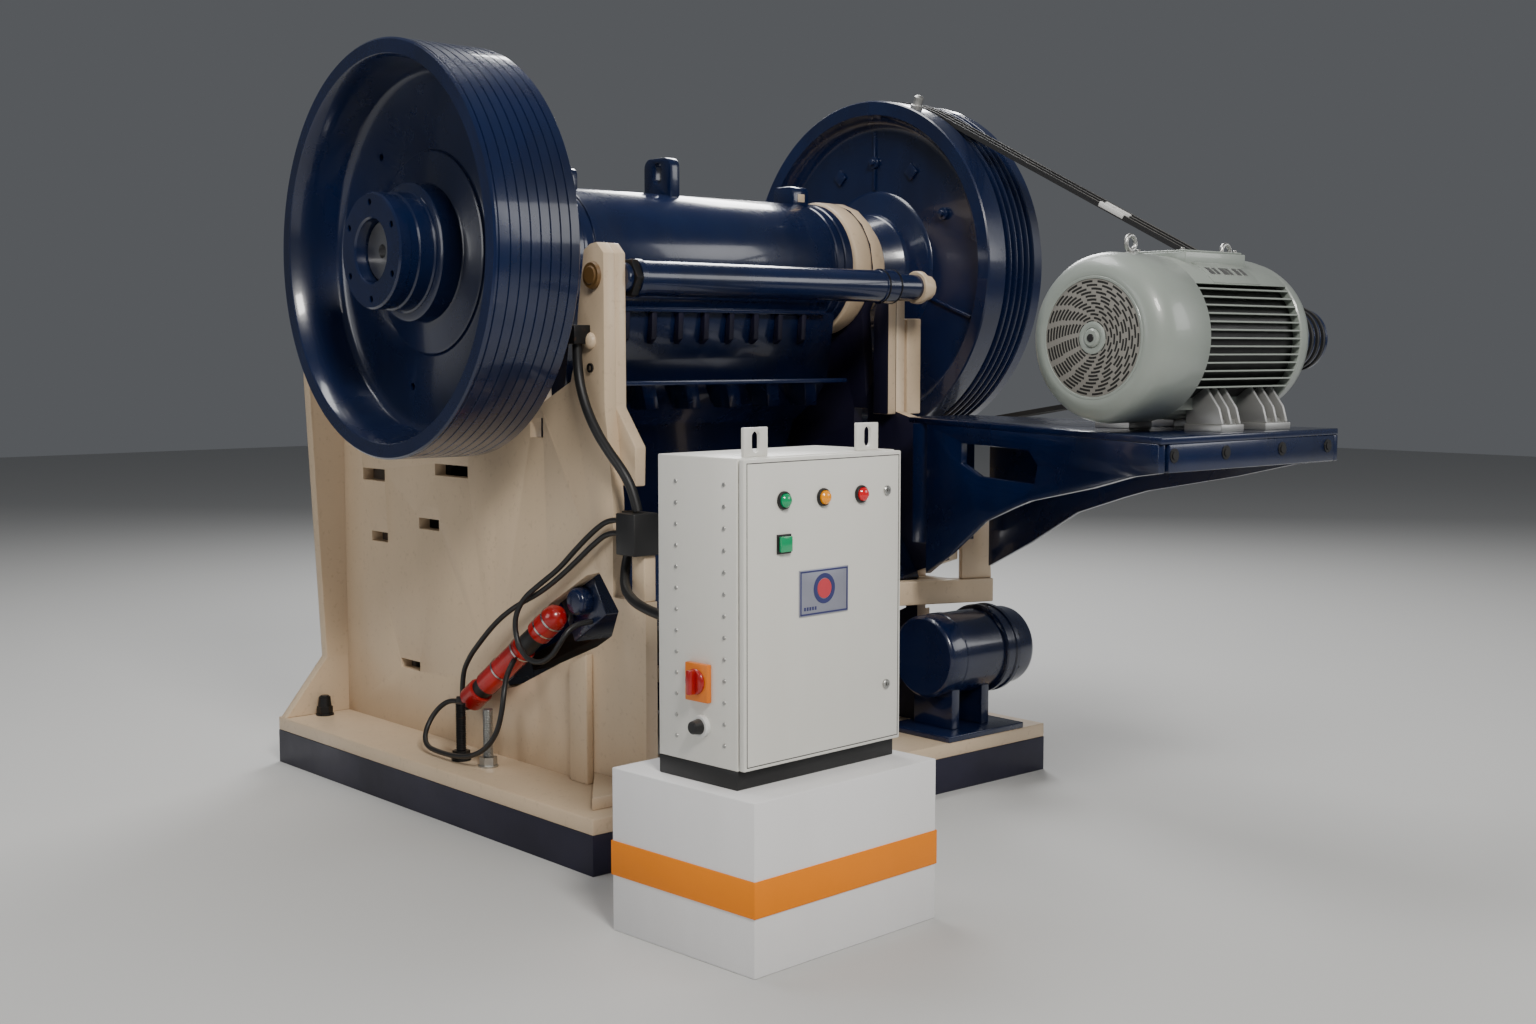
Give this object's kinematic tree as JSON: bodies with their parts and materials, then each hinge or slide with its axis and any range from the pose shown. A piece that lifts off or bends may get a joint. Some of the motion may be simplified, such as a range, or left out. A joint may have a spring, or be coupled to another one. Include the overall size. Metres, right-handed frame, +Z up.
{
  "type": "jaw crusher",
  "caption": "Jaw crusher with two flywheels, swing jaw, belt drive motor on a rear table, hydraulic pump motor, skid base and a control cabinet on a plinth.",
  "frame": {"origin": "ground point under the middle of the crusher shaft, at the centre of the four foundation bolt holes", "axes": "+X across the machine towards the belt side, +Y towards the fixed jaw, +Z up"},
  "size_m": [2.5629, 3.32, 2.5539],
  "materials": {
    "navy": "gloss navy blue machine enamel",
    "skid_navy": "dark navy enamel, satin",
    "cream": "warm cream enamel, semi-gloss",
    "manganese": "raw manganese steel, as cast",
    "shaft_steel": "turned steel, oiled",
    "sage": "sage grey motor enamel",
    "motor_alloy": "cast alloy feet",
    "rubber_black": "black rubber",
    "cabinet_white": "off-white powder coat",
    "pedestal_white": "white matt paint",
    "band_orange": "orange tape band",
    "plinth_black": "black satin paint",
    "red": "gloss red enamel",
    "lamp_lens": "coloured lamp lenses in black bezels",
    "badge": "plain maker's plate",
    "switch_plastic": "orange, red, black and white switch plastic",
    "bolt_black": "black oxide steel"
  },
  "bodies": {
    "frame": {"adjusting_cylinder": "red", "base_flange": "cream", "bearing_housings": "cream", "cabinet_box": "cabinet_white", "cabinet_ears": "cabinet_white", "cabinet_plinth": "plinth_black", "cable_fittings": "bolt_black", "cheek_plates": "manganese", "cylinder_boss": "navy", "drive_belts": "rubber_black", "feed_cable": "rubber_black", "fixed_jaw_plate": "manganese", "front_wall": "cream", "holding_studs": "bolt_black", "junction_block": "plinth_black", "junction_post": "cream", "lower_hose": "rubber_black", "main_cable": "rubber_black", "motor_fan_cover": "sage", "motor_feet": "motor_alloy", "motor_frame": "sage", "motor_table": "navy", "motor_terminal_box": "sage", "pedestal": "pedestal_white", "pedestal_band": "band_orange", "post_rib": "cream", "post_stiffeners": "cream", "pump_base": "navy", "pump_feet": "navy", "pump_motor": "navy", "rear_foot": "cream", "ring_hose": "rubber_black", "side_knob": "switch_plastic", "side_plate_left": "cream", "side_plate_right": "cream", "side_ribs": "cream", "side_switch": "switch_plastic", "skid_frame": "skid_navy", "table_gusset": "cream", "table_rear_edge": "navy", "table_shelf": "cream", "table_upright": "navy", "table_web_left": "navy", "table_web_right": "navy", "tie_tube": "navy", "toggle_beam": "navy", "toggle_plate": "manganese", "upper_hose": "rubber_black"},
    "flywheels": {"flywheel_left": "navy", "flywheel_right": "navy", "eccentric_shaft": "shaft_steel", "wheel_eye": "bolt_black"},
    "motor_rotor": {"motor_pulley": "navy"},
    "swing_jaw": {"pitman": "navy", "swing_jaw_plate": "manganese", "lifting_lugs": "navy"},
    "cabinet_door_leaf": {"cabinet_door": "cabinet_white", "door_lamps": "lamp_lens", "door_locks": "bolt_black", "badge_plate": "badge"}
  },
  "joints": [
    {"name": "shaft_spin", "type": "hinge", "parent": "frame", "child": "flywheels", "pos_m": [0, 0, 1.885], "axis": [1, 0, 0], "continuous": true},
    {"name": "motor_spin", "type": "hinge", "parent": "frame", "child": "motor_rotor", "pos_m": [0, -1.85, 1.606], "axis": [1, 0, 0], "continuous": true},
    {"name": "jaw_swing", "type": "hinge", "parent": "frame", "child": "swing_jaw", "pos_m": [0, 0, 1.885], "axis": [1, 0, 0], "range_deg": [-0.4, 0.4]},
    {"name": "door_hinge", "type": "hinge", "parent": "frame", "child": "cabinet_door_leaf", "pos_m": [-1.20177, -1.73058, 0.9], "axis": [0, 0, 1], "range_deg": [-110, 0]}
  ],
  "couplings": [
    {"joint": "motor_spin", "follows": "shaft_spin", "ratio": 6.8854}
  ]
}
